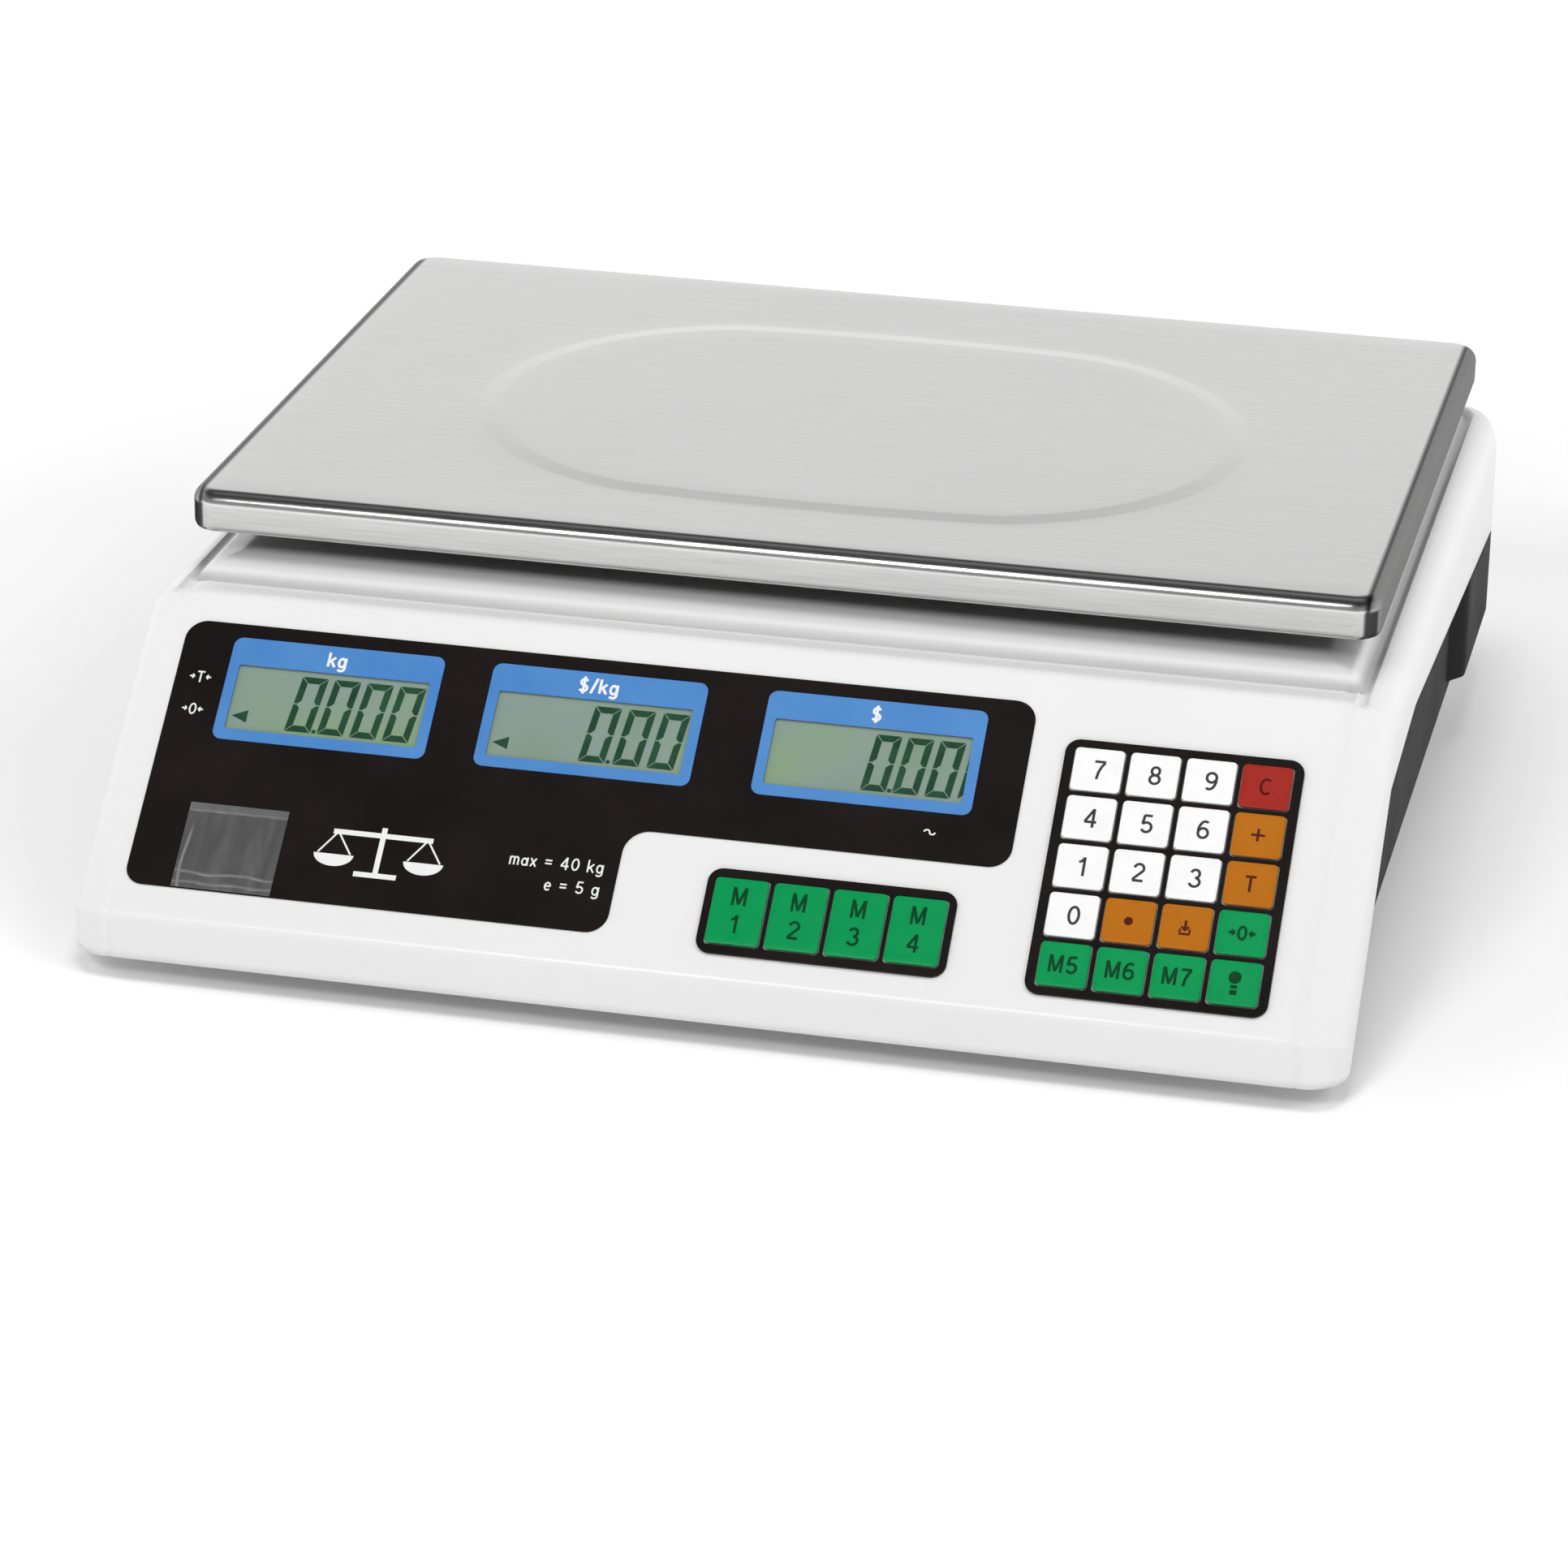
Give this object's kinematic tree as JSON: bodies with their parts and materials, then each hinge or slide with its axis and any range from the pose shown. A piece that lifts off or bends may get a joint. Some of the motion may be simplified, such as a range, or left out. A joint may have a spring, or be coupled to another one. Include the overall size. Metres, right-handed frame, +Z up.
{
  "type": "price-computing scale",
  "caption": "Counter-top price-computing scale: white sloped housing on a black base, stainless platter, LCD windows, coloured keypad and levelling feet.",
  "frame": {"origin": "on the table, under the middle of the housing's footprint", "axes": "+X to the user's right, +Y away from the user, +Z up; the sloping control face looks toward -Y and up"},
  "size_m": [0.35, 0.33, 0.11],
  "materials": {
    "white_abs": "moulded white ABS, fine satin grain",
    "black_abs": "moulded charcoal ABS, fine spark texture",
    "stainless": "pressed stainless sheet, fine satin brush",
    "aluminium": "cast and machined aluminium",
    "zinc_steel": "zinc-plated steel",
    "print_black": "printed polyester film, warm black",
    "print_blue": "printed polyester film, mid blue",
    "lcd": "reflective LCD, grey green",
    "smoked": "thin smoked clear film",
    "clear_acrylic": "clear acrylic capsule with green fluid",
    "key_white": "printed film, white",
    "key_red": "printed film, red",
    "key_orange": "printed film, orange",
    "key_green": "printed film, green",
    "rubber": "black moulded rubber",
    "circuit": "green solder-masked glass-fibre board",
    "battery": "grey ABS battery case",
    "iron": "laminated iron core and varnished winding",
    "gloss_black": "gloss black rocker"
  },
  "bodies": {
    "case": {"top_housing": "white_abs", "base_tray": "black_abs", "display_overlay": "print_black", "window_frame_weight": "print_blue", "window_frame_unit_price": "print_blue", "window_frame_total": "print_blue", "lcd_weight": "lcd", "lcd_unit_price": "lcd", "lcd_total": "lcd", "level_window": "smoked", "keypad_frame": "print_black", "memory_key_frame": "print_black", "display_board": "circuit", "key_circuit": "circuit", "level_vial": "clear_acrylic", "load_cell": "aluminium", "load_cell_plate": "zinc_steel", "overload_stop_screw": "zinc_steel", "main_board": "circuit", "battery": "battery", "mains_transformer": "iron", "mains_inlet": "black_abs", "switch_bezel": "black_abs"},
    "support": {"platter_support": "aluminium", "support_pad_front_left": "rubber", "support_pad_back_left": "rubber", "support_pad_front_right": "rubber", "support_pad_back_right": "rubber"},
    "platter": {"weighing_platter": "stainless"},
    "rocker": {"power_rocker": "gloss_black"},
    "key_7_cap": {"key_7": "key_white"},
    "key_8_cap": {"key_8": "key_white"},
    "key_9_cap": {"key_9": "key_white"},
    "key_clear_cap": {"key_clear": "key_red"},
    "key_4_cap": {"key_4": "key_white"},
    "key_5_cap": {"key_5": "key_white"},
    "key_6_cap": {"key_6": "key_white"},
    "key_add_cap": {"key_add": "key_orange"},
    "key_1_cap": {"key_1": "key_white"},
    "key_2_cap": {"key_2": "key_white"},
    "key_3_cap": {"key_3": "key_white"},
    "key_tare_cap": {"key_tare": "key_orange"},
    "key_0_cap": {"key_0": "key_white"},
    "key_point_cap": {"key_point": "key_orange"},
    "key_save_cap": {"key_save": "key_orange"},
    "key_zero_cap": {"key_zero": "key_green"},
    "key_m5_cap": {"key_m5": "key_green"},
    "key_m6_cap": {"key_m6": "key_green"},
    "key_m7_cap": {"key_m7": "key_green"},
    "key_light_cap": {"key_light": "key_green"},
    "key_m1_cap": {"key_m1": "key_green"},
    "key_m2_cap": {"key_m2": "key_green"},
    "key_m3_cap": {"key_m3": "key_green"},
    "key_m4_cap": {"key_m4": "key_green"},
    "foot_front_left": {"levelling_foot_front_left": "rubber"},
    "foot_back_left": {"levelling_foot_back_left": "rubber"},
    "foot_front_right": {"levelling_foot_front_right": "rubber"},
    "foot_back_right": {"levelling_foot_back_right": "rubber"}
  },
  "joints": [
    {"name": "weigh_deflection", "type": "slide", "parent": "case", "child": "support", "axis": [0, 0, 1], "range_m": [-0.0005, 0], "stiffness_N_per_m": 800000},
    {"name": "platter_lift", "type": "slide", "parent": "support", "child": "platter", "axis": [0, 0, 1], "range_m": [0, 0.06]},
    {"name": "power_rock", "type": "hinge", "parent": "case", "child": "rocker", "pos_m": [-0.068, 0.1584, 0.0355], "axis": [0, 0, 1], "range_deg": [0, 16]},
    {"name": "press_7", "type": "slide", "parent": "case", "child": "key_7_cap", "axis": [0, 0.6561, -0.7547], "range_m": [0, 0.0005], "stiffness_N_per_m": 4000},
    {"name": "press_8", "type": "slide", "parent": "case", "child": "key_8_cap", "axis": [0, 0.6561, -0.7547], "range_m": [0, 0.0005], "stiffness_N_per_m": 4000},
    {"name": "press_9", "type": "slide", "parent": "case", "child": "key_9_cap", "axis": [0, 0.6561, -0.7547], "range_m": [0, 0.0005], "stiffness_N_per_m": 4000},
    {"name": "press_clear", "type": "slide", "parent": "case", "child": "key_clear_cap", "axis": [0, 0.6561, -0.7547], "range_m": [0, 0.0005], "stiffness_N_per_m": 4000},
    {"name": "press_4", "type": "slide", "parent": "case", "child": "key_4_cap", "axis": [0, 0.6561, -0.7547], "range_m": [0, 0.0005], "stiffness_N_per_m": 4000},
    {"name": "press_5", "type": "slide", "parent": "case", "child": "key_5_cap", "axis": [0, 0.6561, -0.7547], "range_m": [0, 0.0005], "stiffness_N_per_m": 4000},
    {"name": "press_6", "type": "slide", "parent": "case", "child": "key_6_cap", "axis": [0, 0.6561, -0.7547], "range_m": [0, 0.0005], "stiffness_N_per_m": 4000},
    {"name": "press_add", "type": "slide", "parent": "case", "child": "key_add_cap", "axis": [0, 0.6561, -0.7547], "range_m": [0, 0.0005], "stiffness_N_per_m": 4000},
    {"name": "press_1", "type": "slide", "parent": "case", "child": "key_1_cap", "axis": [0, 0.6561, -0.7547], "range_m": [0, 0.0005], "stiffness_N_per_m": 4000},
    {"name": "press_2", "type": "slide", "parent": "case", "child": "key_2_cap", "axis": [0, 0.6561, -0.7547], "range_m": [0, 0.0005], "stiffness_N_per_m": 4000},
    {"name": "press_3", "type": "slide", "parent": "case", "child": "key_3_cap", "axis": [0, 0.6561, -0.7547], "range_m": [0, 0.0005], "stiffness_N_per_m": 4000},
    {"name": "press_tare", "type": "slide", "parent": "case", "child": "key_tare_cap", "axis": [0, 0.6561, -0.7547], "range_m": [0, 0.0005], "stiffness_N_per_m": 4000},
    {"name": "press_0", "type": "slide", "parent": "case", "child": "key_0_cap", "axis": [0, 0.6561, -0.7547], "range_m": [0, 0.0005], "stiffness_N_per_m": 4000},
    {"name": "press_point", "type": "slide", "parent": "case", "child": "key_point_cap", "axis": [0, 0.6561, -0.7547], "range_m": [0, 0.0005], "stiffness_N_per_m": 4000},
    {"name": "press_save", "type": "slide", "parent": "case", "child": "key_save_cap", "axis": [0, 0.6561, -0.7547], "range_m": [0, 0.0005], "stiffness_N_per_m": 4000},
    {"name": "press_zero", "type": "slide", "parent": "case", "child": "key_zero_cap", "axis": [0, 0.6561, -0.7547], "range_m": [0, 0.0005], "stiffness_N_per_m": 4000},
    {"name": "press_m5", "type": "slide", "parent": "case", "child": "key_m5_cap", "axis": [0, 0.6561, -0.7547], "range_m": [0, 0.0005], "stiffness_N_per_m": 4000},
    {"name": "press_m6", "type": "slide", "parent": "case", "child": "key_m6_cap", "axis": [0, 0.6561, -0.7547], "range_m": [0, 0.0005], "stiffness_N_per_m": 4000},
    {"name": "press_m7", "type": "slide", "parent": "case", "child": "key_m7_cap", "axis": [0, 0.6561, -0.7547], "range_m": [0, 0.0005], "stiffness_N_per_m": 4000},
    {"name": "press_light", "type": "slide", "parent": "case", "child": "key_light_cap", "axis": [0, 0.6561, -0.7547], "range_m": [0, 0.0005], "stiffness_N_per_m": 4000},
    {"name": "press_m1", "type": "slide", "parent": "case", "child": "key_m1_cap", "axis": [0, 0.6561, -0.7547], "range_m": [0, 0.0005], "stiffness_N_per_m": 4000},
    {"name": "press_m2", "type": "slide", "parent": "case", "child": "key_m2_cap", "axis": [0, 0.6561, -0.7547], "range_m": [0, 0.0005], "stiffness_N_per_m": 4000},
    {"name": "press_m3", "type": "slide", "parent": "case", "child": "key_m3_cap", "axis": [0, 0.6561, -0.7547], "range_m": [0, 0.0005], "stiffness_N_per_m": 4000},
    {"name": "press_m4", "type": "slide", "parent": "case", "child": "key_m4_cap", "axis": [0, 0.6561, -0.7547], "range_m": [0, 0.0005], "stiffness_N_per_m": 4000},
    {"name": "level_front_left", "type": "slide", "parent": "case", "child": "foot_front_left", "axis": [0, 0, -1], "range_m": [0, 0.008]},
    {"name": "level_back_left", "type": "slide", "parent": "case", "child": "foot_back_left", "axis": [0, 0, -1], "range_m": [0, 0.008]},
    {"name": "level_front_right", "type": "slide", "parent": "case", "child": "foot_front_right", "axis": [0, 0, -1], "range_m": [0, 0.008]},
    {"name": "level_back_right", "type": "slide", "parent": "case", "child": "foot_back_right", "axis": [0, 0, -1], "range_m": [0, 0.008]}
  ]
}
